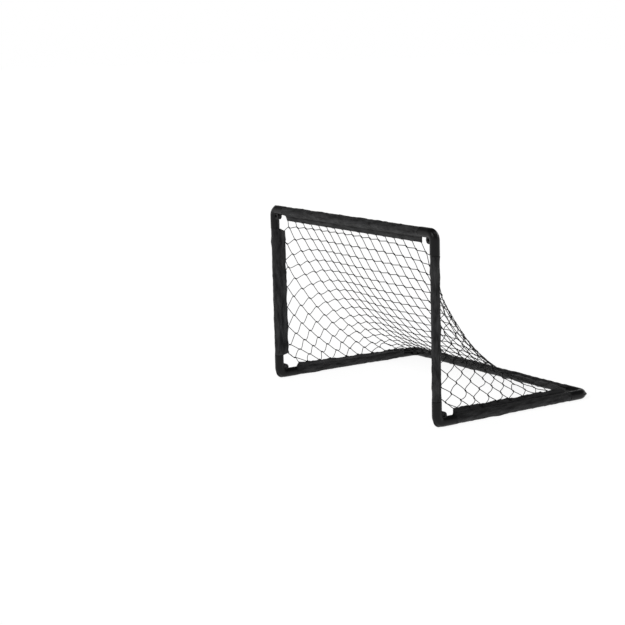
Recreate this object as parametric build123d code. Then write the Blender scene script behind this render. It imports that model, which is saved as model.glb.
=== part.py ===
from build123d import *

import math
import os

# Small free-standing goal. Six straight tubes plug into six identical right-angle elbows and make
# one closed loop: crossbar, two posts, two side bars along the floor and a back bar. A woven sleeve
# covers each tube, its flap points at the net, and the net is sewn along the flaps.
# Millimetres. The origin is on the floor at the middle of the footprint, the mouth faces -Y.

WIDTH = 900.0
HEIGHT = 590.0
DEPTH = 610.0

ELBOW_OD = 30.0
ELBOW_REACH = 79.0        # from the outside of a corner to the mouth of a socket
BEND_RADIUS = 20.0        # centreline of the bend
SOCKET_DEPTH = 45.0
SOCKET_CLEARANCE = 0.1    # radial, between a tube and its socket
PASSAGE_RADIUS = 10.5     # hollow through the bend, behind the socket's shoulder
MOUTH_CHAMFER = 0.8
OVERCUT = 1.0             # how far a cutting shape stands out past the face it cuts
TOLERANCE = 0.01          # when faces are picked by where they lie

RIDGE_RADIUS = 25.0       # outline of the pointed parting ridge round the outside of the bend
RIDGE_FLANK = 39.0        # degrees that each flank leans in from the bend plane's normal
RIDGE_SINK = 0.2          # how far the ridge's straight ends lie under the round arms

EYELET_OD = 24.0
EYELET_BORE = 10.0
EYELET_WIDTH = 16.0
EYELET_FILLET = 1.2

TUBE_OD = 25.0
TUBE_WALL = 1.5
END_PLAY = 0.5            # between a tube's end and the socket's shoulder

SLEEVE_CLOTH = 0.7
SLEEVE_GAP = 0.1          # radial, between a tube and its sleeve
SLEEVE_END_GAP = 0.5      # between a sleeve's end and the elbow
FLAP_WIDTH = 20.0
FLAP_THICKNESS = 2.2
FLAP_SLANT = 8.0          # how much shorter the flap's edge is than its root, at each end

NET_THICKNESS = 1.0
NET_GAP = 3.0             # between a flap's edge and the net's flat stand-in
NET_CREASE = 2.5          # half the gap along a crease between two flat stretches
FOLD_HALF_LENGTH = 330.0  # the net's inward fold, parallel to the crossbar
FOLD_Y = -75.0
FOLD_Z = 220.0

# Which way each sleeve's flap points, in degrees above the horizontal
CROSSBAR_FLAP = -80.0
POST_FLAP = 45.0          # in plan, from straight inwards towards the back
SIDE_FLAP = 50.0
BACK_FLAP = 30.0

ELBOW_RADIUS = ELBOW_OD / 2
TUBE_RADIUS = TUBE_OD / 2
ARM = ELBOW_REACH - ELBOW_RADIUS
SHOULDER = ARM - SOCKET_DEPTH
SLEEVE_BORE_RADIUS = TUBE_RADIUS + SLEEVE_GAP
SLEEVE_RADIUS = SLEEVE_BORE_RADIUS + SLEEVE_CLOTH
FLAP_EDGE_RADIUS = SLEEVE_RADIUS + FLAP_WIDTH
FLAP_EDGE_START = ELBOW_REACH + SLEEVE_END_GAP + FLAP_SLANT

# Tube axes
SIDE_X = WIDTH / 2 - ELBOW_RADIUS
FRONT_Y = -DEPTH / 2 + ELBOW_RADIUS
BACK_Y = DEPTH / 2 - ELBOW_RADIUS
LOW_Z = ELBOW_RADIUS
TOP_Z = HEIGHT - ELBOW_RADIUS

UP = Vector(0, 0, 1)
BACKWARDS = Vector(0, 1, 0)
RIGHT = Vector(1, 0, 0)


def lean(first, second, degrees):
    """Unit vector that leaves first for second by an angle."""
    angle = math.radians(degrees)
    return first * math.cos(angle) + second * math.sin(angle)


# Elbow: made once in the XY plane, its arms along +X and +Y and the tube axes crossing at the origin


def bend_path():
    inwards = Line((ARM, 0), (BEND_RADIUS, 0))
    turn = CenterArc((BEND_RADIUS, BEND_RADIUS), BEND_RADIUS, 270, -90)
    outwards = Line((0, BEND_RADIUS), (0, ARM))
    return inwards, turn, outwards


def along_path(radius):
    inwards, turn, outwards = bend_path()
    section = Plane(origin=(ARM, 0, 0), x_dir=(0, 1, 0), z_dir=(-1, 0, 0)) * Circle(radius)
    return sweep(section, path=Wire([inwards, turn, outwards]))


def parting_ridge():
    """Pointed rib round the outside of the bend, its ends sunk in the round arms."""
    centre = RIDGE_RADIUS + RIDGE_SINK - ELBOW_RADIUS
    flank = math.radians(RIDGE_FLANK)
    half_height = ELBOW_RADIUS * math.sin(flank)
    shoulder = RIDGE_RADIUS - half_height * math.tan(flank)
    inner = RIDGE_RADIUS - ELBOW_RADIUS
    section = Polygon(
        (RIDGE_RADIUS, 0),
        (shoulder, half_height),
        (inner, half_height),
        (inner, -half_height),
        (shoulder, -half_height),
        align=None,
    )
    start = Plane(origin=(centre, centre, 0), x_dir=(-1, 0, 0), z_dir=(0, 1, 0)) * section
    finish = Plane(origin=(centre, centre, 0), x_dir=(0, -1, 0), z_dir=(1, 0, 0)) * section
    turn = revolve(start, axis=Axis((centre, centre, 0), (0, 0, 1)), revolution_arc=90)
    run_out = BEND_RADIUS
    return turn + extrude(start, amount=run_out) + extrude(finish, amount=run_out)


def socket(direction):
    plane = Plane(origin=direction * SHOULDER, z_dir=direction)
    return extrude(plane * Circle(TUBE_RADIUS + SOCKET_CLEARANCE), amount=SOCKET_DEPTH + OVERCUT)


def elbow():
    eyelet_place = Pos(BEND_RADIUS, BEND_RADIUS, 0)
    eyelet = Cylinder(EYELET_OD / 2, EYELET_WIDTH)
    eyelet = fillet(eyelet.edges().filter_by(GeomType.CIRCLE), EYELET_FILLET)
    body = along_path(ELBOW_RADIUS) + parting_ridge() + eyelet_place * eyelet
    mouths = body.faces().filter_by(lambda face: max(face.center().X, face.center().Y) > ARM - TOLERANCE)
    body = chamfer(mouths.edges(), MOUTH_CHAMFER)
    body -= along_path(PASSAGE_RADIUS)
    body -= socket(Vector(1, 0, 0))
    body -= socket(Vector(0, 1, 0))
    body -= eyelet_place * Cylinder(EYELET_BORE / 2, ELBOW_OD)
    return body


def placed_elbow(shape, corner, first_arm, second_arm):
    """Puts the elbow's arms along two of the frame's directions."""
    plane = Plane(origin=corner, x_dir=first_arm, z_dir=first_arm.cross(second_arm))
    return plane.location * shape


# Tubes and sleeves: both run from corner to corner along one of the frame's axes


def tube(start, end):
    direction = (end - start).normalized()
    setback = SHOULDER + END_PLAY
    length = (end - start).length - 2 * setback
    plane = Plane(origin=start + direction * setback, z_dir=direction)
    ring = Circle(TUBE_RADIUS) - Circle(TUBE_RADIUS - TUBE_WALL)
    return extrude(plane * ring, amount=length)


def sleeve(start, end, flap_direction):
    direction = (end - start).normalized()
    setback = ARM + SLEEVE_END_GAP
    length = (end - start).length - 2 * setback
    plane = Plane(origin=start + direction * setback, x_dir=flap_direction, z_dir=direction)
    cloth = extrude(plane * Circle(SLEEVE_RADIUS), amount=length)
    side = Plane(
        origin=start + direction * setback,
        x_dir=flap_direction,
        z_dir=flap_direction.cross(direction),
    )
    outline = Polygon(
        (0, 0),
        (SLEEVE_RADIUS, 0),
        (FLAP_EDGE_RADIUS, FLAP_SLANT),
        (FLAP_EDGE_RADIUS, length - FLAP_SLANT),
        (SLEEVE_RADIUS, length),
        (0, length),
        align=None,
    )
    flap = extrude(side * outline, amount=FLAP_THICKNESS / 2, both=True)
    bore = extrude(plane * Circle(SLEEVE_BORE_RADIUS), amount=length)
    return cloth + flap - bore


# Net: one piece of knotless mesh, held here as flat stretches that meet along its creases


def pulled_in(corners, gap):
    """The same polygon with every side moved inwards by gap."""
    moved = []
    for index, corner in enumerate(corners):
        before = (corners[index - 1] - corner).normalized()
        after = (corners[(index + 1) % len(corners)] - corner).normalized()
        moved.append(corner + (before + after) * (gap / before.cross(after).length))
    return moved


def net_stretch(*corners):
    outline = pulled_in([Vector(*corner) for corner in corners], NET_CREASE)
    face = Face(Wire.make_polygon(outline, close=True))
    return extrude(face, amount=NET_THICKNESS / 2, dir=face.normal_at(), both=True)


def net_stretches():
    reach = FLAP_EDGE_RADIUS + NET_GAP
    bar_end = WIDTH / 2 - FLAP_EDGE_START
    crossbar_offset = lean(BACKWARDS, UP, CROSSBAR_FLAP) * reach
    back_offset = lean(-BACKWARDS, UP, BACK_FLAP) * reach
    top_y = FRONT_Y + crossbar_offset.Y
    top_z = TOP_Z + crossbar_offset.Z
    rear_y = BACK_Y + back_offset.Y
    rear_z = LOW_Z + back_offset.Z
    stretches = [
        net_stretch(
            (-bar_end, top_y, top_z),
            (bar_end, top_y, top_z),
            (FOLD_HALF_LENGTH, FOLD_Y, FOLD_Z),
            (-FOLD_HALF_LENGTH, FOLD_Y, FOLD_Z),
        ),
        net_stretch(
            (-FOLD_HALF_LENGTH, FOLD_Y, FOLD_Z),
            (FOLD_HALF_LENGTH, FOLD_Y, FOLD_Z),
            (bar_end, rear_y, rear_z),
            (-bar_end, rear_y, rear_z),
        ),
    ]
    for side in (-1, 1):
        inwards = RIGHT * -side
        post_offset = lean(inwards, BACKWARDS, POST_FLAP) * reach
        side_offset = lean(inwards, UP, SIDE_FLAP) * reach
        post_x = side * SIDE_X + post_offset.X
        post_y = FRONT_Y + post_offset.Y
        side_x = side * SIDE_X + side_offset.X
        side_z = LOW_Z + side_offset.Z
        fold_end = (side * FOLD_HALF_LENGTH, FOLD_Y, FOLD_Z)
        rim = [
            (side * bar_end, top_y, top_z),
            (post_x, post_y, HEIGHT - FLAP_EDGE_START),
            (post_x, post_y, FLAP_EDGE_START),
            (side_x, -DEPTH / 2 + FLAP_EDGE_START, side_z),
            (side_x, DEPTH / 2 - FLAP_EDGE_START, side_z),
            (side * bar_end, rear_y, rear_z),
        ]
        for near, far in zip(rim, rim[1:]):
            stretches.append(net_stretch(near, far, fold_end))
    return Compound(children=stretches)


def corner(side, y, z):
    return Vector(side * SIDE_X, y, z)


def frame_runs():
    """Name, both corners and flap direction of each tube."""
    top = [corner(side, FRONT_Y, TOP_Z) for side in (-1, 1)]
    low = [corner(side, FRONT_Y, LOW_Z) for side in (-1, 1)]
    rear = [corner(side, BACK_Y, LOW_Z) for side in (-1, 1)]
    runs = [
        ("crossbar", top[0], top[1], lean(BACKWARDS, UP, CROSSBAR_FLAP)),
        ("back_bar", rear[0], rear[1], lean(-BACKWARDS, UP, BACK_FLAP)),
    ]
    for index, name in enumerate(("left", "right")):
        inwards = RIGHT if name == "left" else -RIGHT
        runs.append((name + "_post", low[index], top[index], lean(inwards, BACKWARDS, POST_FLAP)))
        runs.append((name + "_side_bar", low[index], rear[index], lean(inwards, UP, SIDE_FLAP)))
    return runs


def build():
    parts = {}
    shape = elbow()
    for side, name in ((-1, "left"), (1, "right")):
        inwards = RIGHT * -side
        parts["top_" + name + "_elbow"] = placed_elbow(shape, corner(side, FRONT_Y, TOP_Z), inwards, -UP)
        parts["front_" + name + "_elbow"] = placed_elbow(shape, corner(side, FRONT_Y, LOW_Z), BACKWARDS, UP)
        parts["back_" + name + "_elbow"] = placed_elbow(shape, corner(side, BACK_Y, LOW_Z), inwards, -BACKWARDS)
    for name, start, end, flap_direction in frame_runs():
        parts[name + "_tube"] = tube(start, end)
        parts[name + "_sleeve"] = sleeve(start, end, flap_direction)
    parts["net"] = net_stretches()
    return parts


os.makedirs("parts", exist_ok=True)
for node, solid in build().items():
    export_step(solid, f"parts/{node}.step")
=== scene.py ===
import math

import bpy
import numpy as np
from mathutils import Matrix, Vector


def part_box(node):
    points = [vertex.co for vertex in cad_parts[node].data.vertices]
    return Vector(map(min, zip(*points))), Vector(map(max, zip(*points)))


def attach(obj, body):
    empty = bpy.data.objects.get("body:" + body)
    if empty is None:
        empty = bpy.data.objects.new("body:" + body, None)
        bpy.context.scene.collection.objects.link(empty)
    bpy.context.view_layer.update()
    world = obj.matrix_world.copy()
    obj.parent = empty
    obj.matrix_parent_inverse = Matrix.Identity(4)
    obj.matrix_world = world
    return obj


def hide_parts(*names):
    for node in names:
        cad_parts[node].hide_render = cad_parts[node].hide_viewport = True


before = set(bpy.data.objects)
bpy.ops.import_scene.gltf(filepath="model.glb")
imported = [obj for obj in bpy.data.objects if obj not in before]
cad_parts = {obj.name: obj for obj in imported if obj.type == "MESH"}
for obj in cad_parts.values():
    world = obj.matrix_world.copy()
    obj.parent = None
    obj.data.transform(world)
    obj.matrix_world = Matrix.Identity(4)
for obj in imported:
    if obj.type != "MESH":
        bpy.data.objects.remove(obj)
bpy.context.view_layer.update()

RANDOM_SEED = 7

UP = np.array([0.0, 0.0, 1.0])
BACK = np.array([0.0, 1.0, 0.0])
RIGHT = np.array([1.0, 0.0, 0.0])

# Camera, at the viewing angle of a low three-quarter view from the front right
CAMERA_PLACE = (3.9684, -3.0092, 1.1597)
CAMERA_AZIMUTH = 57.01
CAMERA_ELEVATION = 10.27
CAMERA_ROLL = -1.56
CAMERA_LENS = 89.73
CAMERA_SENSOR = 36.0
CAMERA_REACH = 60.0

# Studio
FLOOR_HALF = 60.0
FLOOR_DROP = 0.0003        # below the lowest point of the goal
FLOOR_GREY = 0.30
FLOOR_ROUGHNESS = 0.9
FLOOR_SHINE = 0.1
FLOOR_GLOW = 0.89          # the floor is lit from within, like the walls, so that it hardly takes a shadow
WALL_LIGHT = 1.0
CEILING_LIGHT = 0.12
WALL_TOP = 0.05            # height of a direction where the walls start to darken
CEILING_EDGE = 0.50        # and where the ceiling starts
LAMP_POWER = 1.0
LAMP_ANGLE = 25.0
LAMP_FROM = (0.20, -0.74, 0.64)

# Linear colours
PLASTIC_DARK = (0.003, 0.003, 0.0032)
PLASTIC_LIGHT = (0.006, 0.006, 0.0063)
PLASTIC_WORN = (0.018, 0.018, 0.019)
TUBE_LIGHT = (0.010, 0.010, 0.0105)
# The sleeve's dark cloth colours are painted shade between the yarns, and its light ones are painted light on
# the yarns' tops; the worn ones are the same in the paler streaks
CLOTH_SHADED_BETWEEN_YARNS = (0.007, 0.007, 0.0073)
CLOTH_SHADED_BETWEEN_YARNS_WORN = (0.024, 0.024, 0.0248)
CLOTH_LIT_YARN_TOPS = (0.016, 0.016, 0.0165)
CLOTH_LIT_YARN_TOPS_WORN = (0.054, 0.054, 0.0555)
FIBRE_DARK = (0.003, 0.003, 0.0032)
FIBRE_LIGHT = (0.006, 0.006, 0.0063)
# The twine's and the thread's light colours are painted light on the crest of each ply; the grooves between
# the plies keep the darker fibre colour, as painted shade
TWINE_LIT_PLY_CRESTS = (0.010, 0.010, 0.0103)
THREAD_LIT_PLY_CRESTS = (0.03, 0.03, 0.0309)

# Weave, and how the net's twine and the sewing thread are laid
WEAVE_PITCH = 0.0009
SLUB_HEIGHT = 0.8          # of the yarns' unevenness, as a share of the weave's own
TWINE_PITCH = 0.007
TWINE_PLIES = 3
THREAD_PITCH = 0.0016
THREAD_PLIES = 2
FIBRE_HEIGHT = 0.5         # of the fibres, as a share of the plies'

# Sockets of a mix node that mixes colours
MIX_SHARE = 0
MIX_COLOURS = (6, 7)
MIX_RESULT = 2

# Sleeve: one strip of woven cloth, wrapped round the tube and sewn to itself as a flap
CLOTH_THICKNESS = 0.0005
WRAP_RADIUS = 0.0134       # to the middle of the cloth
SEAM_REACH = 0.0176        # from the tube's axis to the seam beside the tube
FLAP_REACH = 0.0333        # from the tube's axis to the flap's edge
HEM_WIDTH = 0.008          # turned in between the flap's two layers
HEM_OFFSET = 0.0005        # of the turned-in layer from the flap's middle
FACE_OFFSET = 0.0011       # of the outer layer from the flap's middle
MIDDLE_OFFSET = (HEM_OFFSET + FACE_OFFSET) / 2
SEAM_OFFSET = 0.0005       # of the outer layer where the seam pinches it
PINCH_SHARE = 0.2          # of the flap's width over which it stays pinched
HEM_POINTS = 5             # points of the section on the hem
TURN_POINTS = 5            # where the hem turns over
FACE_POINTS = 9            # on the flap's face
WEB_POINTS = 5             # between the seam and the tube
WRAP_POINTS = 17           # and on half of the tube
LOOSE_BLEND = 5            # points over which the folds fade in beyond the seam
FLAP_SLANT = 0.008         # how much shorter the flap's edge is than its root, at each end
END_RAGGED = 0.0008
RAGGED_RATES = (700, 560)  # of the raggedness at the start and the end, in radians per metre
RAGGED_PHASE = 5
CLOTH_STEP = 0.0024        # length of a mesh face along the tube
FLOOR_CLEAR = 0.0004       # lowest that the middle of the cloth may lie
FACE_RELIEF = 0.6          # of the folds on the flap's faces, as a share of those on the tube
TIGHT_EASE = 0.0003        # how softly a fold leaves the tight cloth
END_HEM_RISE = 0.00045     # of the hem round each end of the sleeve
END_HEM_PLACE = 0.004      # from the end to that hem's middle
END_HEM_REACH = 0.0045     # and half its width
SEAM_MARGIN = 0.0005       # how far inside the seam the cloth still counts as flap

# Ridges on the cloth. Angles are in radians, from round the tube towards along it. A pair is the least and
# the most.
PUCKER_CHANCE = 0.8        # of a pucker each side of a tie
PUCKER_ANGLE = (0.35, 1.0)
PUCKER_START = (0.006, 0.022)      # from the middle of the strip
PUCKER_SCATTER = 0.006
PUCKER_LENGTH = (0.012, 0.026)
PUCKER_WIDTH = (0.0018, 0.0034)
PUCKER_RISE = (0.00025, 0.00085)
FOLD_PITCH = 0.009         # between the long folds of a sleeve that has turned on its tube
FOLD_LEAN = -1.34
FOLD_LEAN_SCATTER = 0.13
FOLD_MARGIN = 0.025        # from the strip's edges
FOLD_LENGTH = (0.022, 0.050)
FOLD_WIDTH = (0.0020, 0.0034)
FOLD_RISE = (0.0007, 0.0014)
CRUMPLES_PER_METRE = 70
CRUMPLE_MARGIN = 0.02
CRUMPLE_ANGLE_SCATTER = 0.75
CRUMPLE_LENGTH = (0.008, 0.03)
CRUMPLE_WIDTH = (0.002, 0.005)
CRUMPLE_RISE = (0.0001, 0.0005)
SWELLS = 14
SWELL_RATE_ALONG = (60, 260)       # radians per metre
SWELL_RATE_ROUND = (-90, 90)
SWELL_PHASE = (0, 6.28)
SWELL_RISE = (0.00005, 0.00014)

# How the net and the cloth's own slack move the flap
PULL_LENGTH = 0.006        # of the flap's edge that a tie pulls out
PULL_REACH = 0.0011        # how far it does
DRAWN_IN = 0.0005          # how far in the edge lies between the ties
GAPE_LENGTH = 0.003        # of the edge that a tie opens
GAPE_OFFSET = 0.0007       # how far it does
SWAY_RATES = (47, 103)     # of the two sways that are added up, in radians per metre
SWAY_SECOND = 0.6          # height of the second one, as a share of the first one's
SWAY_PHASES = (130, 2)     # the first one is multiplied by the place of the sleeve's first tie
SWAY_REACH = 0.0006        # of the edge in its own plane
SWAY_OFFSET = 0.0016       # and out of it

# Stitches
STITCH_PITCH = 0.0042
STITCH_LENGTH = 0.0031
STITCH_RINGS = 6
STITCH_MARGIN = 0.003      # from the flap's ends
STITCH_ARCH = 1.5          # how far a stitch's middle stands up from its ends, in thread radii
STITCH_SUNK = 0.9          # and how deep these lie in the cloth
STITCH_WOBBLE = 0.0002
STITCH_WOBBLE_RATE = 900
SEAM_STITCHES = 0.0012     # from the seam to the row beside it
EDGE_STITCHES = 0.0045     # from the flap's edge to the row beside it
SEAM_PINCHED = 0.004       # from the seam, where the outer layer may lie as near the middle as the hem
THREAD_RADIUS = 0.00028
THREAD_SIDES = 5

# Net: knotless square mesh, hung square from the crossbar
ROWS = 17                  # rows of joints from the crossbar to the back bar
HALF_COLUMNS = 8           # columns each side of the middle one, on the crossbar
POST_ROWS = 9              # rows that end on the posts; the others end on the side bars
REPEATED_ROW = 3           # the row that is only as wide as the one above it
JOINT_LENGTH = 0.0054      # over which two twines run together
COLUMN_PITCH = 0.0412      # from joint to joint down a column
ROW_PITCH = 0.0486         # and along a row
BAR_LENGTH = 0.0440        # of one twine from joint to joint, drawn straight
WING_START = np.array([0.010, -0.028, -0.028])     # from column to column of a wing, before the net settles
WING_SLACK = 0.006         # how much longer a twine is in the rows of a slack wing
RIGHT_SLACK = (5, 9)       # columns between which the rows grow slack, on the right
LEFT_SLACK = (-9, -5)      # and between which they grow taut, on the left
LEFT_SLACK_ROWS = (9, 14)  # where only the lower rows are slack
CROSSBAR_TAIL = 0.012      # of a twine between its first joint and the crossbar's flap, in the middle
CROSSBAR_TAIL_RISE = (0.008, 0.016)    # how much longer it is at the left and the right end
BACK_TAIL = 0.043          # to the back bar's flap, in the middle
BACK_TAIL_SLOPE = 0.008    # how much longer it is at the right end, and shorter at the left one
BACK_GATHER = -0.35        # crowds the ties on the back bar towards its left end
CORNER_TAIL = 0.018        # from the lowest joint on a post to the side bar's flap
TIE_DEPTH = 0.004          # how far a twine goes in under the flap's edge
TWINE_RADIUS = 0.00123
JOINT_TWINE_RADIUS = 0.0014
TWINE_SIDES = 6
STRAND_RINGS = 9
STRAND_EASE = 0.12         # how far a taut twine keeps to its joint's direction, as a share of its length
SLACK_EASE = 0.30          # and how much further a slack one does
SLACK_FULL = 0.004         # spare length from which a twine counts as slack
BOW_SHARE = 0.45           # of a slack twine's bow that shows as one wide bend
WING_BOW_SHARE = 0.85      # the same in a slack wing
BOW_SAG = 0.3              # how much a bow turns downwards
WING_BOW_SAG = 0.5         # and how much more in a slack wing
BOW_VARIATION = (0.5, 1.0)
TWOFOLD = (0.0, 0.5)       # share of a bow that bends both ways
TWOFOLD_WIDTH = 0.7
STRAND_WANDER = 0.0003
JOINT_RINGS = 11
JOINT_TURNS = 1.0
JOINT_WINDING = 0.9        # distance of a twine from the joint's middle line, in twine radii
JOINT_OVERLAP = 0.05       # how far the joint's twines go on at each end, as a share of its length
JOINT_TAPER = 0.35         # how bluntly they draw together there
ROW_TIGHTNESS = (0.9, 1.0) # distance between joints of a slack row and of a taut one, in bar lengths
JOINT_ROW_WEIGHT = (0.35, 0.60)    # of such a row's direction in its joints' own; a column's is 1
WEIGHT = 0.242             # of a joint, as the stretch in mm that it gives one bar
ROW_STIFFNESS = 0.0615     # against bending at a joint, as a share of a bar's stiffness
COLUMN_STIFFNESS = 0.167
SLACK_STIFFNESS = 0.05     # against shortening, as a share of a bar's stiffness
SETTLE_STEPS = 3000
SETTLE_PACE = 0.35
SETTLE_KEEPS = 0.995       # share of its speed that a joint keeps from step to step
MILLIMETRES = 1000         # in a metre

# Where the outer joints of rows 1 to 9 are sewn to a post: the heights at which the joint's upper tail and
# its outer one go in, then the lengths of the two. A joint without one of them has None.
POST_TIES = (
    (None, 0.502, 0.0, 0.037),
    (0.474, None, 0.030, 0.0),
    (None, 0.402, 0.0, 0.033),
    (0.408, 0.363, 0.022, 0.018),
    (0.333, 0.303, 0.008, 0.0055),
    (0.2555, 0.235, 0.0025, 0.0035),
    (0.1885, 0.1715, 0.0035, 0.002),
    (0.123, 0.109, 0.0075, 0.0075),
    (0.088, 0.088, 0.0125, 0.034),
)
# Where the outer joints of rows 10 to 17 are sewn to a side bar, and how long the two tails of each are
SIDE_TIES = (
    (-0.176, 0.005),
    (-0.1325, 0.008),
    (-0.088, 0.010),
    (-0.0215, 0.007),
    (0.0265, 0.008),
    (0.090, 0.012),
    (0.1445, 0.008),
    (0.165, 0.008),
)
SIDE_SPREAD = 0.011        # half the distance between a joint's two ties on a side bar
SIDE_SHIFT = (0.0, -0.024)     # how much further back they are on the left and on the right side bar


def unit(vector):
    return vector / np.linalg.norm(vector)


# Each flap leaves its tube somewhere between two directions, at an angle in degrees from the first one
# towards the second. The last number is how much further it is turned at the tube's start.
FLAPS = {
    "crossbar": (BACK, UP, -80, 0),
    "back_bar": (-BACK, UP, 30, 0),
    "left_post": (RIGHT, BACK, 45, 0),
    "right_post": (-RIGHT, BACK, 45, 0),
    "left_side_bar": (RIGHT, UP, 44, 26),
    "right_side_bar": (-RIGHT, UP, 44, 26),
}
FLAP_SETTLING = 3.0        # how soon along the tube the further angle dies away


class Run:
    """One tube with its sleeve: where its axis lies, and which way its flap points."""

    def __init__(self, name):
        low, high = (np.array(corner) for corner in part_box(name + "_tube"))
        axis = int(np.argmax(high - low))
        sleeve_low, sleeve_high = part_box(name + "_sleeve")
        self.along = np.eye(3)[axis]
        self.centre = (low + high) / 2 * (1 - self.along)
        self.start = sleeve_low[axis]
        self.end = sleeve_high[axis]
        self.first, self.second, self.degrees, self.rise = FLAPS[name]

    def flap(self, length):
        """Directions along the flap and across it, at a place along the tube."""
        share = (np.asarray(length, float)[..., None] - self.start) / (self.end - self.start)
        angle = np.radians(self.degrees + self.rise * np.exp(-FLAP_SETTLING * share))
        out = self.first * np.cos(angle) + self.second * np.sin(angle)
        return out, np.cross(self.along, out)

    def place(self, reach, offset, length):
        """Points at those distances along the flap, across it and along the tube."""
        out, across = self.flap(length)
        reach, offset, length = (np.asarray(value, float)[..., None] for value in (reach, offset, length))
        return self.centre + reach * out + offset * across + length * self.along

    def edge_start(self):
        return self.start + FLAP_SLANT

    def edge_end(self):
        return self.end - FLAP_SLANT

    def tie(self, length):
        """A point just inside the flap, where a bar of the net is sewn in."""
        return self.place(FLAP_REACH - TIE_DEPTH, 0.0, length)


RUNS = {name: Run(name) for name in FLAPS}


# Meshes

TINY = 1e-9                # keeps a closed line's chord from being nothing
SIDEWAYS_SHARE = 0.6       # of its length that a line may run sideways and have its rings set out from RIGHT


def new_object(name, points, faces, smooth=True):
    mesh = bpy.data.meshes.new(name)
    mesh.from_pydata(points.tolist(), [], faces.tolist())
    mesh.validate()
    if smooth:
        mesh.polygons.foreach_set("use_smooth", np.ones(len(mesh.polygons), bool))
    made = bpy.data.objects.new(name, mesh)
    bpy.context.scene.collection.objects.link(made)
    return made


def set_uv(made, coordinates):
    """coordinates has a row for each face corner."""
    layer = made.data.uv_layers.new(name="cloth")
    layer.data.foreach_set("uv", coordinates.astype(np.float32).ravel())


def grid_faces(rows, columns):
    """Quads of a grid of points, row by row."""
    row, column = np.meshgrid(np.arange(rows - 1), np.arange(columns - 1), indexing="ij")
    first = (row * columns + column).ravel()
    return np.stack([first, first + 1, first + columns + 1, first + columns], axis=1)


def tubes(lines, radius, sides):
    """Round tubes along many lines that have the same number of points. Gives points, faces and UV, which is
    in turns round a tube and in metres along it."""
    lines = np.asarray(lines, float)
    count, rings = lines.shape[:2]
    tangent = np.gradient(lines, axis=1)
    tangent /= np.linalg.norm(tangent, axis=2, keepdims=True)
    chord = lines[:, -1] - lines[:, 0] + TINY
    forwards = np.abs(chord[:, [0]]) < SIDEWAYS_SHARE * np.linalg.norm(chord, axis=1, keepdims=True)
    helper = np.where(forwards, RIGHT, BACK)
    side = np.cross(tangent, helper[:, None, :])
    side /= np.linalg.norm(side, axis=2, keepdims=True)
    other = np.cross(tangent, side)
    angle = np.arange(sides) * 2 * math.pi / sides
    ring = np.cos(angle)[:, None] * side[:, :, None, :] + np.sin(angle)[:, None] * other[:, :, None, :]
    points = (lines[:, :, None, :] + ring * radius).reshape(-1, 3)
    line, row, step = np.meshgrid(np.arange(count), np.arange(rings - 1), np.arange(sides), indexing="ij")
    base = (line * rings + row) * sides
    following = (step + 1) % sides
    faces = np.stack([base + step, base + following, base + sides + following, base + sides + step], axis=-1)
    steps = np.linalg.norm(np.diff(lines, axis=1), axis=2)
    walked = np.concatenate([np.zeros((count, 1)), np.cumsum(steps, axis=1)], axis=1)
    near = walked[line, row]
    far = walked[line, row + 1]
    left = step / sides
    right = (step + 1) / sides
    uv = np.stack([left, near, right, near, right, far, left, far], axis=-1).reshape(-1, 2)
    return points, faces.reshape(-1, 4), uv


def joined(parts):
    """Several sets of tubes as one."""
    points, faces, uv = [], [], []
    count = 0
    for part in parts:
        points.append(part[0])
        faces.append(part[1] + count)
        uv.append(part[2])
        count += len(part[0])
    return np.concatenate(points), np.concatenate(faces), np.concatenate(uv)


# Materials


def node(tree, kind, **values):
    made = tree.nodes.new(kind)
    for key, value in values.items():
        if key in made.inputs:
            made.inputs[key].default_value = value
        else:
            setattr(made, key, value)
    return made


def link(tree, source, output, target, name):
    tree.links.new(source.outputs[output], target.inputs[name])


def math_node(tree, operation, first, second=None):
    made = node(tree, "ShaderNodeMath", operation=operation)
    for index, value in enumerate((first, second)):
        if value is None:
            continue
        if isinstance(value, (int, float)):
            made.inputs[index].default_value = value
        else:
            tree.links.new(value, made.inputs[index])
    return made.outputs[0]


def new_material(name, shine):
    material = bpy.data.materials.new(name)
    material.use_nodes = True
    tree = material.node_tree
    shader = tree.nodes["Principled BSDF"]
    shader.inputs["Specular IOR Level"].default_value = shine
    return material, tree, shader


def noise(tree, scale, detail, roughness=0.55, stretch=(1, 1, 1), on="Object"):
    """Noise of about that many cells per metre, in the object's own space or on the strip laid flat."""
    place = node(tree, "ShaderNodeUVMap", uv_map="cloth") if on == "UV" else node(tree, "ShaderNodeTexCoord")
    mapping = node(tree, "ShaderNodeMapping")
    mapping.inputs["Scale"].default_value = stretch
    link(tree, place, on, mapping, "Vector")
    made = node(tree, "ShaderNodeTexNoise", Scale=scale, Detail=detail, Roughness=roughness)
    link(tree, mapping, "Vector", made, "Vector")
    return made.outputs["Fac"]


def ramp(tree, source, low, high, dark, light):
    """Maps source from low..high to dark..light."""
    made = node(tree, "ShaderNodeMapRange")
    made.inputs["From Min"].default_value = low
    made.inputs["From Max"].default_value = high
    made.inputs["To Min"].default_value = dark
    made.inputs["To Max"].default_value = light
    tree.links.new(source, made.inputs["Value"])
    return made.outputs["Result"]


def mix_colour(tree, share, first, second):
    """Mixes two colours, each one a tuple or another node's output."""
    made = node(tree, "ShaderNodeMix", data_type="RGBA")
    for index, colour in zip(MIX_COLOURS, (first, second)):
        if isinstance(colour, tuple):
            made.inputs[index].default_value = (*colour, 1)
        else:
            tree.links.new(colour, made.inputs[index])
    tree.links.new(share, made.inputs[MIX_SHARE])
    return made.outputs[MIX_RESULT]


def bump(tree, shader, height, distance, strength=1.0):
    made = node(tree, "ShaderNodeBump", Strength=strength, Distance=distance)
    tree.links.new(height, made.inputs["Height"])
    link(tree, made, "Normal", shader, "Normal")


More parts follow.
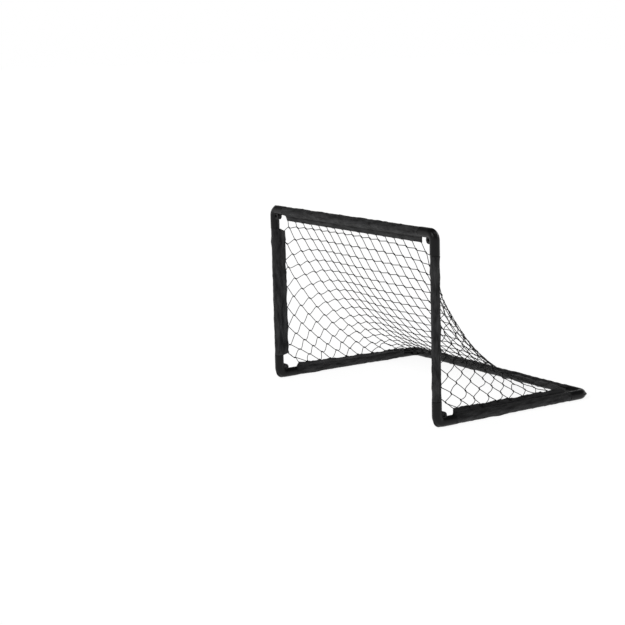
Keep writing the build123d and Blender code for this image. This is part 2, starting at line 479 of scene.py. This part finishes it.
def moulded_plastic():
    """The elbows' smooth plastic, scuffed in places, with a fine grain."""
    material, tree, shader = new_material("moulded_plastic", shine=0.17)
    cloud = noise(tree, scale=14.0, detail=3.0)
    scuff = noise(tree, scale=90.0, detail=6.0, roughness=0.7, stretch=(1, 1, 0.35))
    grain = noise(tree, scale=2600.0, detail=2.0)
    worn = ramp(tree, scuff, low=0.60, high=0.78, dark=0.0, light=0.5)
    base = mix_colour(tree, cloud, PLASTIC_DARK, PLASTIC_LIGHT)
    colour = mix_colour(tree, worn, base, PLASTIC_WORN)
    tree.links.new(colour, shader.inputs["Base Color"])
    tree.links.new(ramp(tree, cloud, low=0.3, high=0.7, dark=0.29, light=0.38), shader.inputs["Roughness"])
    bump(tree, shader, grain, distance=0.00006)
    return material


def extruded_plastic():
    """The tubes' plain plastic, faintly clouded."""
    material, tree, shader = new_material("extruded_plastic", shine=0.3)
    cloud = noise(tree, scale=60.0, detail=5.0, roughness=0.6)
    colour = mix_colour(tree, cloud, PLASTIC_LIGHT, TUBE_LIGHT)
    tree.links.new(colour, shader.inputs["Base Color"])
    tree.links.new(ramp(tree, cloud, low=0.3, high=0.7, dark=0.35, light=0.5), shader.inputs["Roughness"])
    bump(tree, shader, noise(tree, scale=700.0, detail=2.0), distance=0.00003)
    return material


def uv_parts(tree):
    place = node(tree, "ShaderNodeUVMap", uv_map="cloth")
    split = node(tree, "ShaderNodeSeparateXYZ")
    link(tree, place, "UV", split, "Vector")
    return split.outputs["X"], split.outputs["Y"]


def wave(tree, source, pitch, shift=None):
    """Sine of a distance in metres, with that pitch, from -1 to 1."""
    turned = math_node(tree, "MULTIPLY", source, 2 * math.pi / pitch)
    if shift is not None:
        turned = math_node(tree, "ADD", turned, shift)
    return math_node(tree, "SINE", turned)


def woven_cloth():
    """Plain weave of coarse filament yarn, paler in streaks along the tube, with a faint sheen. Its colour
    holds painted shade: darker between the yarns, where the weave's bump sinks, and lighter on the yarns'
    tops as painted light.
    """
    material, tree, shader = new_material("woven_sleeve", shine=0.05)
    across, along = uv_parts(tree)
    weave = math_node(tree, "MULTIPLY", wave(tree, across, WEAVE_PITCH), wave(tree, along, WEAVE_PITCH))
    streak = noise(tree, scale=95.0, detail=4.0, stretch=(1, 0.22, 1), on="UV")
    worn = ramp(tree, streak, low=0.35, high=0.65, dark=0.0, light=1.0)
    slub = noise(tree, scale=420.0, detail=3.0)
    # The weave's pattern also paints shade: the colour is darker between the yarns, where the bump sinks, and
    # lighter on their tops as painted light
    yarn = ramp(tree, weave, low=-1.0, high=1.0, dark=0.0, light=1.0)
    between = mix_colour(tree, worn, CLOTH_SHADED_BETWEEN_YARNS, CLOTH_SHADED_BETWEEN_YARNS_WORN)
    painted_light_on_top = mix_colour(tree, worn, CLOTH_LIT_YARN_TOPS, CLOTH_LIT_YARN_TOPS_WORN)
    colour = mix_colour(tree, yarn, between, painted_light_on_top)
    tree.links.new(colour, shader.inputs["Base Color"])
    tree.links.new(ramp(tree, slub, low=0.3, high=0.7, dark=0.52, light=0.7), shader.inputs["Roughness"])
    shader.inputs["Sheen Weight"].default_value = 0.05
    shader.inputs["Sheen Roughness"].default_value = 0.5
    height = math_node(tree, "ADD", weave, math_node(tree, "MULTIPLY", slub, SLUB_HEIGHT))
    bump(tree, shader, height, distance=0.00009, strength=0.8)
    return material


def twisted_twine(name, pitch, plies, light):
    """Laid twine: its plies wind round it. Its colour holds painted shade: the light colour on the crest of
    each ply as painted light, and the darker fibre colour in the grooves between the plies.
    """
    material, tree, shader = new_material(name, shine=0.1)
    around, along = uv_parts(tree)
    turn = math_node(tree, "MULTIPLY", around, 2 * math.pi * plies)
    twist = wave(tree, along, pitch, turn)
    # The ply pattern paints shade into the colour: the light colour on each ply's crest, the darker fibre
    # colour in the grooves, following the bump's height
    ply_crest_light_mask = ramp(tree, twist, low=-1.0, high=1.0, dark=0.0, light=1.0)
    fibre = noise(tree, scale=900.0, detail=3.0)
    base = mix_colour(tree, fibre, FIBRE_DARK, FIBRE_LIGHT)
    colour = mix_colour(tree, ply_crest_light_mask, base, light)
    tree.links.new(colour, shader.inputs["Base Color"])
    tree.links.new(ramp(tree, fibre, low=0.3, high=0.7, dark=0.45, light=0.65), shader.inputs["Roughness"])
    height = math_node(tree, "ADD", twist, math_node(tree, "MULTIPLY", fibre, FIBRE_HEIGHT))
    bump(tree, shader, height, distance=0.00012)
    return material


MOULDED = moulded_plastic()
EXTRUDED = extruded_plastic()
CLOTH = woven_cloth()
TWINE = twisted_twine("net_twine", TWINE_PITCH, TWINE_PLIES, TWINE_LIT_PLY_CRESTS)
THREAD = twisted_twine("sewing_thread", THREAD_PITCH, THREAD_PLIES, THREAD_LIT_PLY_CRESTS)


def finish_cad_nodes():
    for name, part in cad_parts.items():
        material = MOULDED if name.endswith("_elbow") else EXTRUDED
        part.data.materials.clear()
        part.data.materials.append(material)


# Sleeves


def flap_share(reach):
    """How far out on the flap a place is, from 0 at the seam to 1 at the edge."""
    return np.clip((reach - SEAM_REACH) / (FLAP_REACH - SEAM_REACH), 0, 1)


class Cloth:
    """The surface of one sleeve. Places on it are distances round the strip and along the tube."""

    def __init__(self, run, ties, seed):
        self.run = run
        self.ties = np.asarray(ties, float)
        self.random = np.random.default_rng(seed)
        self.outline()
        self.creases()

    def outline(self):
        """Section of the strip: a hem, a face of the flap, round the tube, and the same on the other side."""
        touch = math.acos(WRAP_RADIUS / SEAM_REACH)
        turn_radius = (FACE_OFFSET - HEM_OFFSET) / 2
        turn_reach = FLAP_REACH - turn_radius
        half = []
        for reach in np.linspace(FLAP_REACH - HEM_WIDTH, turn_reach, HEM_POINTS):
            half.append((reach, HEM_OFFSET))
        for angle in np.linspace(-math.pi / 2, math.pi / 2, TURN_POINTS)[1:]:
            reach = turn_reach + turn_radius * math.cos(angle)
            half.append((reach, MIDDLE_OFFSET + turn_radius * math.sin(angle)))
        for reach in np.linspace(turn_reach, SEAM_REACH, FACE_POINTS)[1:]:
            opened = min(1.0, flap_share(reach) / PINCH_SHARE)
            half.append((reach, SEAM_OFFSET + (FACE_OFFSET - SEAM_OFFSET) * opened))
        tangent = np.array([WRAP_RADIUS * math.cos(touch), WRAP_RADIUS * math.sin(touch)])
        seam = np.array([SEAM_REACH, SEAM_OFFSET])
        for share in np.linspace(0, 1, WEB_POINTS)[1:]:
            half.append(tuple(seam + (tangent - seam) * share))
        for angle in np.linspace(touch, math.pi, WRAP_POINTS)[1:]:
            half.append((WRAP_RADIUS * math.cos(angle), WRAP_RADIUS * math.sin(angle)))
        upper = np.array(half)
        lower = (upper * [1, -1])[-2::-1]
        self.section = np.concatenate([upper, lower])
        steps = np.linalg.norm(np.diff(self.section, axis=0), axis=1)
        self.walked = np.concatenate([[0], np.cumsum(steps)])
        self.width = self.walked[-1]
        tangents = np.gradient(self.section, axis=0)
        normals = np.stack([tangents[:, 1], -tangents[:, 0]], axis=1)
        self.normals = normals / np.linalg.norm(normals, axis=1, keepdims=True)
        wrap = (self.section[:, 0] < SEAM_REACH - SEAM_MARGIN).astype(float)
        blend = np.ones(LOOSE_BLEND) / LOOSE_BLEND
        self.loose = np.convolve(np.pad(wrap, LOOSE_BLEND // 2, mode="edge"), blend, mode="valid")
        outer = (np.abs(self.section[:, 1]) > MIDDLE_OFFSET).astype(float)
        self.face = outer * (1 - self.loose)

    def creases(self):
        """Puckers that the net's pull raises, long folds, crumples, and waves of the cloth's own slack. A
        ridge is its place round the strip and along the tube, its angle, length, width and height."""
        run = self.run
        length = run.end - run.start
        uniform, normal = self.random.uniform, self.random.normal
        ridges = []
        for tie in self.ties:
            for side in (-1, 1):
                if self.random.random() < PUCKER_CHANCE:
                    angle = side * uniform(*PUCKER_ANGLE)
                    centre = self.width / 2 + side * uniform(*PUCKER_START)
                    place = tie + normal(0, PUCKER_SCATTER)
                    ridges.append((centre, place, angle, uniform(*PUCKER_LENGTH), uniform(*PUCKER_WIDTH),
                                   uniform(*PUCKER_RISE)))
        for number in range(int(length / FOLD_PITCH)):
            centre = uniform(FOLD_MARGIN, self.width - FOLD_MARGIN)
            place = run.start + FOLD_PITCH * (number + 0.5)
            angle = FOLD_LEAN + normal(0, FOLD_LEAN_SCATTER)
            ridges.append((centre, place, angle, uniform(*FOLD_LENGTH), uniform(*FOLD_WIDTH),
                           uniform(*FOLD_RISE)))
        for _ in range(int(length * CRUMPLES_PER_METRE)):
            centre = uniform(CRUMPLE_MARGIN, self.width - CRUMPLE_MARGIN)
            place = uniform(run.start, run.end)
            angle = normal(0, CRUMPLE_ANGLE_SCATTER)
            ridges.append((centre, place, angle, uniform(*CRUMPLE_LENGTH), uniform(*CRUMPLE_WIDTH),
                           uniform(*CRUMPLE_RISE)))
        self.ridges = np.array(ridges)
        self.swells = [(uniform(*SWELL_RATE_ALONG), uniform(*SWELL_RATE_ROUND), uniform(*SWELL_PHASE),
                        uniform(*SWELL_RISE)) for _ in range(SWELLS)]

    def relief(self, around, along):
        """Height of the cloth over its tight shape."""
        height = np.zeros(np.broadcast(around, along).shape)
        for centre, place, angle, length, width, rise in self.ridges:
            beside = around - centre
            beyond = along - place
            forward = beside * math.cos(angle) + beyond * math.sin(angle)
            sideways = beyond * math.cos(angle) - beside * math.sin(angle)
            height += rise * np.exp(-((forward / length) ** 2) - (sideways / width) ** 2)
        for rate_along, rate_round, phase, rise in self.swells:
            height += rise * np.sin(along * rate_along + around * rate_round + phase)
        height = (height + np.sqrt(height ** 2 + TIGHT_EASE ** 2)) / 2
        from_end = np.minimum(along - self.run.start, self.run.end - along)
        height += END_HEM_RISE * np.exp(-((from_end - END_HEM_PLACE) / END_HEM_REACH) ** 4)
        return height

    def point(self, around, along):
        """Places on the middle of the cloth, and the direction out of it."""
        around, along = np.broadcast_arrays(np.asarray(around, float), np.asarray(along, float))
        reach = np.interp(around, self.walked, self.section[:, 0])
        offset = np.interp(around, self.walked, self.section[:, 1])
        out_reach = np.interp(around, self.walked, self.normals[:, 0])
        out_offset = np.interp(around, self.walked, self.normals[:, 1])
        loose = np.interp(around, self.walked, self.loose)
        face = np.interp(around, self.walked, self.face)
        rise = self.relief(around, along) * (loose + FACE_RELIEF * face)
        reach = reach + out_reach * rise
        offset = offset + out_offset * rise
        flap = flap_share(reach)
        near = np.abs(along[..., None] - self.ties)
        pull = np.exp(-((near / PULL_LENGTH) ** 2)).sum(-1)
        gape = np.exp(-((near / GAPE_LENGTH) ** 2)).sum(-1)
        sway = (np.sin(along * SWAY_RATES[0] + self.ties[0] * SWAY_PHASES[0])
                + SWAY_SECOND * np.sin(along * SWAY_RATES[1] + SWAY_PHASES[1]))
        reach = reach + flap ** 2 * (PULL_REACH * pull - DRAWN_IN + SWAY_REACH * sway)
        offset = offset + np.sign(offset) * flap ** 3 * GAPE_OFFSET * gape + flap * SWAY_OFFSET * sway
        place = self.run.place(reach, offset, along)
        place[..., 2] = np.maximum(place[..., 2], FLOOR_CLEAR)
        flap_way, across_way = self.run.flap(along)
        out = out_reach[..., None] * flap_way + out_offset[..., None] * across_way
        return place, out

    def ends(self, around):
        """Where the strip starts and ends along the tube, at that distance round it."""
        slant = FLAP_SLANT * flap_share(np.interp(around, self.walked, self.section[:, 0]))
        start_phase, end_phase = self.ridges[:2, 2] * RAGGED_PHASE
        start_ragged = END_RAGGED * (1 + np.sin(around * RAGGED_RATES[0] + start_phase)) / 2
        end_ragged = END_RAGGED * (1 + np.cos(around * RAGGED_RATES[1] + end_phase)) / 2
        return self.run.start + slant + start_ragged, self.run.end - slant - end_ragged


def make_sleeve(name, ties, seed):
    run = RUNS[name]
    cloth = Cloth(run, ties, seed)
    halfway = (cloth.walked[:-1] + cloth.walked[1:]) / 2
    around = np.sort(np.concatenate([cloth.walked, halfway]))
    start, end = cloth.ends(around)
    rows = int((run.end - run.start) / CLOTH_STEP)
    share = np.linspace(0, 1, rows)[:, None]
    along = start + (end - start) * share
    places, _ = cloth.point(around, along)
    made = new_object(name + "_cloth", places.reshape(-1, 3), grid_faces(rows, len(around)))
    flat = np.stack([np.broadcast_to(around, along.shape), along], axis=-1).reshape(-1, 2)
    corners = np.empty(len(made.data.loops), int)
    made.data.loops.foreach_get("vertex_index", corners)
    set_uv(made, flat[corners])
    thick = made.modifiers.new("thickness", "SOLIDIFY")
    thick.thickness = CLOTH_THICKNESS
    thick.offset = 0
    made.data.materials.append(CLOTH)
    sewing = make_stitches(name, cloth)
    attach(made, "root")
    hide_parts(name + "_sleeve")
    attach(sewing, "root")


def make_stitches(name, cloth):
    """Two rows of stitches on each face of the flap, one beside the tube and one beside the edge."""
    run = cloth.run
    middle = len(cloth.walked) // 2
    reaches, offsets = cloth.section[:middle].T
    outside = (np.abs(offsets) > MIDDLE_OFFSET) | (reaches < SEAM_REACH + SEAM_PINCHED)
    outer_reaches = np.where(outside, reaches, np.inf)
    share = np.linspace(0, 1, STITCH_RINGS)
    rise = CLOTH_THICKNESS / 2 + THREAD_RADIUS * (STITCH_ARCH * np.sin(math.pi * share) - STITCH_SUNK)
    lines = []
    for reach in (SEAM_REACH + SEAM_STITCHES, FLAP_REACH - EDGE_STITCHES):
        inset = FLAP_SLANT * flap_share(reach) + STITCH_MARGIN
        count = int((run.end - run.start - 2 * inset) / STITCH_PITCH)
        starts = run.start + inset + np.arange(count) * STITCH_PITCH
        along = starts[:, None] + STITCH_LENGTH * share
        wobble = STITCH_WOBBLE * np.sin(starts * STITCH_WOBBLE_RATE)[:, None]
        near = cloth.walked[int(np.argmin(np.abs(outer_reaches - reach)))]
        for around in (near, cloth.width - near):
            places, out = cloth.point(around + wobble, along)
            lines.append(places + out * rise[None, :, None])
    points, faces, uv = tubes(np.concatenate(lines), THREAD_RADIUS, THREAD_SIDES)
    made = new_object(name + "_stitching", points, faces)
    set_uv(made, uv)
    made.data.materials.append(THREAD)
    return made


# Net


def half_width(row):
    """Columns each side of the middle one, in that row: one more from row to row down the posts, but for the
    repeated row, and one fewer from row to row along the side bars."""
    if row > POST_ROWS:
        return HALF_COLUMNS + ROWS - row
    return HALF_COLUMNS + row - (1 if row < REPEATED_ROW else 2)


def columns_at(gather):
    """Where the columns' tails are sewn in along the crossbar or the back bar."""
    run = RUNS["crossbar"]
    share = np.linspace(0, 1, 2 * HALF_COLUMNS + 1)
    return run.edge_start() + (run.edge_end() - run.edge_start()) * (share + gather * share * (1 - share))


def wing_share(column, row):
    """How slack a row is there, from 0 to 1: the right wing all over, the left one only low down."""
    right = np.interp(column, RIGHT_SLACK, (0, 1))
    left = np.interp(column, LEFT_SLACK, (1, 0)) * np.interp(row, LEFT_SLACK_ROWS, (0, 1))
    return max(right, left)


def curve(start, leave, end, arrive, share):
    """Cubic from start to end, with those directions there."""
    return ((2 * share**3 - 3 * share**2 + 1) * start + (share**3 - 2 * share**2 + share) * leave
            + (3 * share**2 - 2 * share**3) * end + (share**3 - share**2) * arrive)


class Net:
    """Knotless netting. The twines of a row and of a column run together for a short way at each joint. So a
    joint has an upper end, where twines come from above and from the left, and a lower end, where they leave
    downwards and to the right."""

    def __init__(self):
        self.numbers, self.places, self.fixed, self.bars = {}, [], [], []
        self.tie_places = {name: [] for name in RUNS}
        self.make_joints()
        self.make_bars()
        self.make_ties()
        self.settle()
        self.find_axes()

    def add(self, key, place, fixed):
        self.numbers[key] = len(self.places)
        self.places.append(np.asarray(place, float))
        self.fixed.append(fixed)

    def bar(self, first, second, length, kind):
        """kind is row, column, or the end of the first joint that a tail leaves from."""
        self.bars.append((first, second, length, kind))

    def make_joints(self):
        """Starts from a flat sheet between the crossbar and the back bar, its wings hanging forwards."""
        columns = columns_at(gather=0.0)
        for row in range(1, ROWS + 1):
            share = row / (ROWS + 1)
            for column in range(-half_width(row), half_width(row) + 1):
                across = columns[min(max(column, -HALF_COLUMNS), HALF_COLUMNS) + HALF_COLUMNS]
                top = RUNS["crossbar"].tie(across)
                bottom = RUNS["back_bar"].tie(across)
                beyond = max(0, abs(column) - HALF_COLUMNS)
                side = np.array([math.copysign(1.0, column), 1.0, 1.0])
                place = top + (bottom - top) * share + WING_START * side * beyond
                self.add((column, row), place, False)
        self.joints = list(self.numbers)

    def make_bars(self):
        for column, row in self.joints:
            if (column + 1, row) in self.numbers:
                self.bar((column, row), (column + 1, row), ROW_PITCH, "row")
            if (column, row + 1) in self.numbers:
                self.bar((column, row), (column, row + 1), COLUMN_PITCH, "column")

    def tie(self, joint, end, name, length, tail):
        """Sews a tail of a joint's upper or lower end into a flap."""
        run = RUNS[name]
        length = float(min(max(length, run.edge_start()), run.edge_end()))
        key = (name, length, joint, end)
        self.add(key, run.tie(length), True)
        self.tie_places[name].append(length)
        self.bar(joint, key, tail + TIE_DEPTH, end)

    def make_ties(self):
        columns = range(-HALF_COLUMNS, HALF_COLUMNS + 1)
        for column, high, low in zip(columns, columns_at(gather=0.0), columns_at(BACK_GATHER)):
            share = column / HALF_COLUMNS
            rise = CROSSBAR_TAIL_RISE[int(column > 0)] * share ** 2
            self.tie((column, 1), "upper", "crossbar", high, CROSSBAR_TAIL + rise)
            self.tie((column, ROWS), "lower", "back_bar", low, BACK_TAIL + BACK_TAIL_SLOPE * share)
        for side, name, outer_end in ((-1, "left", "upper"), (1, "right", "lower")):
            for row, (above, beside, above_tail, beside_tail) in enumerate(POST_TIES, 1):
                joint = (side * half_width(row), row)
                if above is not None:
                    self.tie(joint, "upper", name + "_post", above, above_tail)
                if beside is not None:
                    self.tie(joint, outer_end, name + "_post", beside, beside_tail)
            side_bar = name + "_side_bar"
            corner = RUNS[side_bar].edge_start()
            self.tie((side * half_width(POST_ROWS), POST_ROWS), "lower", side_bar, corner, CORNER_TAIL)
            for row, (place, tail) in enumerate(SIDE_TIES, POST_ROWS + 1):
                joint = (side * half_width(row), row)
                place += SIDE_SHIFT[int(side > 0)]
                self.tie(joint, "lower", side_bar, place + SIDE_SPREAD, tail)
                self.tie(joint, outer_end, side_bar, place - SIDE_SPREAD, tail)

    def turns(self, across, down):
        """Numbers of the joints that lie between two others in a row or a column, and of those two."""
        found = []
        for column, row in self.joints:
            before, after = (column - across, row - down), (column + across, row + down)
            if before in self.numbers and after in self.numbers:
                found.append([self.numbers[key] for key in (before, (column, row), after)])
        return found

    def settle(self):
        """Finds where the net comes to rest: bars pull when stretched, push a little when slack, and resist
        bending at the joints, and each joint has weight. Works in millimetres."""
        first, second = (np.array([self.numbers[bar[end]] for bar in self.bars]) for end in (0, 1))
        length = np.array([bar[2] for bar in self.bars]) * MILLIMETRES
        slack = np.array([SLACK_STIFFNESS if bar[3] in ("row", "column") else 0.0 for bar in self.bars])
        rows, columns = self.turns(1, 0), self.turns(0, 1)
        before, middle, after = np.array(rows + columns).T
        stiffness = np.array([ROW_STIFFNESS] * len(rows) + [COLUMN_STIFFNESS] * len(columns))[:, None]
        index = np.concatenate([first, second, middle, before, after])
        place = np.array(self.places) * MILLIMETRES
        speed = np.zeros_like(place)
        fixed = np.array(self.fixed)
        for _ in range(SETTLE_STEPS):
            gap = place[second] - place[first]
            size = np.linalg.norm(gap, axis=1)
            stretch = size - length
            pull = gap * (np.where(stretch > 0, 1.0, slack) * stretch / size)[:, None]
            bend = (place[before] + place[after] - 2 * place[middle]) * stiffness
            parts = np.concatenate([pull, -pull, 2 * bend, -bend, -bend])
            force = np.stack([np.bincount(index, parts[:, axis], len(place)) for axis in range(3)], axis=1)
            force[:, 2] -= WEIGHT
            force[fixed] = 0
            if (force * speed).sum() < 0:
                speed[:] = 0
            speed = speed * SETTLE_KEEPS + force * SETTLE_PACE
            place = place + speed * SETTLE_PACE
        self.places = place / MILLIMETRES
        self.tightness = {}
        for (one, other, _, kind), share in zip(self.bars, size / length):
            if kind == "row":
                for joint in (one, other):
                    self.tightness.setdefault(joint, []).append(share)

    def find_axes(self):
        """Direction of each joint, downwards: between its row's and its column's, and nearer to its column's
        where the row is slack."""
        self.axes = {}
        for column, row in self.joints:
            ways = []
            for across, down in ((1, 0), (0, 1)):
                after = self.numbers.get((column + across, row + down), self.numbers[(column, row)])
                before = self.numbers.get((column - across, row - down), self.numbers[(column, row)])
                ways.append(unit(self.places[after] - self.places[before]))
            weight = np.interp(np.mean(self.tightness[(column, row)]), ROW_TIGHTNESS, JOINT_ROW_WEIGHT)
            self.axes[(column, row)] = unit(ways[0] * weight + ways[1])

    def end(self, key, which):
        """The upper or lower end of a joint and the twine's direction there, or where a tail is sewn in."""
        place = self.places[self.numbers[key]]
        if key not in self.axes:
            return place, None
        side = {"upper": -0.5, "lower": 0.5}[which]
        return place + self.axes[key] * JOINT_LENGTH * side, self.axes[key] * 2 * side

    def strands(self):
        """The middle lines of the bars. A slack one bows out to one side by what it has to spare."""
        random = np.random.default_rng(RANDOM_SEED)
        share = np.linspace(0, 1, STRAND_RINGS)[:, None]
        lines = []
        for first, second, _, kind in self.bars:
            between = kind in ("row", "column")
            start, leave = self.end(first, "lower" if between else kind)
            end, arrive = self.end(second, "upper")
            size = np.linalg.norm(end - start)
            way = (end - start) / size
            apart = np.linalg.norm(self.places[self.numbers[second]] - self.places[self.numbers[first]])
            wing = wing_share(*first) if kind == "row" else 0.0
            spare = max(0.0, BAR_LENGTH + WING_SLACK * wing - apart) if between else 0.0
            ease = size * (STRAND_EASE + SLACK_EASE * min(1.0, spare / SLACK_FULL))
            arrive = way if arrive is None else -arrive
            line = curve(start, leave * ease, end, arrive * ease, share)
            aside = unit(np.cross(way, random.normal(0, 1, 3)) - UP * (BOW_SAG + WING_BOW_SAG * wing))
            shown = BOW_SHARE + (WING_BOW_SHARE - BOW_SHARE) * wing
            bow = shown * 2 / math.pi * math.sqrt(size * spare) * random.uniform(*BOW_VARIATION)
            twofold = random.uniform(*TWOFOLD)
            once = np.sin(math.pi * share)
            twice = np.sin(2 * math.pi * share)
            shape = (1 - twofold) * once + twofold * TWOFOLD_WIDTH * twice
            wander = once * random.normal(0, STRAND_WANDER, 3)
            lines.append(line + shape * aside * bow + wander)
        return np.array(lines)

    def joint_lines(self):
        """The two twines of each joint, wound round one another."""
        share = np.linspace(0, 1, JOINT_RINGS)[:, None]
        swelling = np.sin(math.pi * np.clip(share, JOINT_OVERLAP, 1 - JOINT_OVERLAP)) ** JOINT_TAPER
        wide = JOINT_TWINE_RADIUS * JOINT_WINDING * swelling
        walked = share * (1 + 2 * JOINT_OVERLAP) - JOINT_OVERLAP
        lines = []
        for joint in self.joints:
            start, end = self.end(joint, "upper")[0], self.end(joint, "lower")[0]
            way = self.axes[joint]
            side = unit(np.cross(way, BACK))
            other = np.cross(way, side)
            for phase in (0, math.pi):
                turn = share * 2 * math.pi * JOINT_TURNS + phase
                round_it = np.cos(turn) * side + np.sin(turn) * other
                lines.append(start + (end - start) * walked + wide * round_it)
        return np.array(lines)


def make_net():
    net = Net()
    strands = tubes(net.strands(), TWINE_RADIUS, TWINE_SIDES)
    joints = tubes(net.joint_lines(), JOINT_TWINE_RADIUS, TWINE_SIDES)
    points, faces, uv = joined((strands, joints))
    made = new_object("knotless_net", points, faces)
    set_uv(made, uv)
    made.data.materials.append(TWINE)
    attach(made, "root")
    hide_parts("net")
    return net


# Stage


def make_camera():
    data = bpy.data.cameras.new("camera")
    data.lens = CAMERA_LENS
    data.sensor_width = CAMERA_SENSOR
    data.clip_end = CAMERA_REACH
    camera = bpy.data.objects.new("camera", data)
    azimuth, elevation, roll = (math.radians(x) for x in (CAMERA_AZIMUTH, CAMERA_ELEVATION, CAMERA_ROLL))
    forward = Vector((-math.sin(azimuth) * math.cos(elevation), math.cos(azimuth) * math.cos(elevation),
                      -math.sin(elevation)))
    level = Vector((math.cos(azimuth), math.sin(azimuth), 0))
    upright = level.cross(forward)
    right = math.cos(roll) * level + math.sin(roll) * upright
    up = math.cos(roll) * upright - math.sin(roll) * level
    turn = Matrix((right, up, -forward)).transposed()
    camera.matrix_world = Matrix.Translation(CAMERA_PLACE) @ turn.to_4x4()
    bpy.context.scene.collection.objects.link(camera)
    bpy.context.scene.camera = camera


def make_floor():
    material, _, shader = new_material("pale_floor", FLOOR_SHINE)
    shader.inputs["Base Color"].default_value = (FLOOR_GREY, FLOOR_GREY, FLOOR_GREY, 1)
    shader.inputs["Roughness"].default_value = FLOOR_ROUGHNESS
    shader.inputs["Emission Color"].default_value = (1, 1, 1, 1)
    shader.inputs["Emission Strength"].default_value = FLOOR_GLOW
    corners = np.array([(-1, -1, 0), (1, -1, 0), (1, 1, 0), (-1, 1, 0)]) * FLOOR_HALF
    floor = new_object("floor", corners - [0, 0, FLOOR_DROP], np.array([[0, 1, 2, 3]]), smooth=False)
    floor.data.materials.append(material)


def make_light():
    """A white studio with a dim ceiling, and one lamp high up in front of the mouth."""
    world = bpy.data.worlds.new("studio")
    world.use_nodes = True
    tree = world.node_tree
    direction = node(tree, "ShaderNodeTexCoord")
    split = node(tree, "ShaderNodeSeparateXYZ")
    link(tree, direction, "Generated", split, "Vector")
    light = ramp(tree, split.outputs["Z"], WALL_TOP, CEILING_EDGE, WALL_LIGHT, CEILING_LIGHT)
    background = tree.nodes["Background"]
    background.inputs["Color"].default_value = (1, 1, 1, 1)
    tree.links.new(light, background.inputs["Strength"])
    bpy.context.scene.world = world
    data = bpy.data.lights.new("lamp", "SUN")
    data.energy = LAMP_POWER
    data.angle = math.radians(LAMP_ANGLE)
    lamp = bpy.data.objects.new("lamp", data)
    lamp.rotation_mode = "QUATERNION"
    lamp.rotation_quaternion = Vector(LAMP_FROM).to_track_quat("Z", "Y")
    bpy.context.scene.collection.objects.link(lamp)
    bpy.context.scene.view_settings.view_transform = "Standard"


finish_cad_nodes()
made_net = make_net()
for number, run_name in enumerate(RUNS):
    make_sleeve(run_name, sorted(made_net.tie_places[run_name]), RANDOM_SEED + number)
make_camera()
make_floor()
make_light()
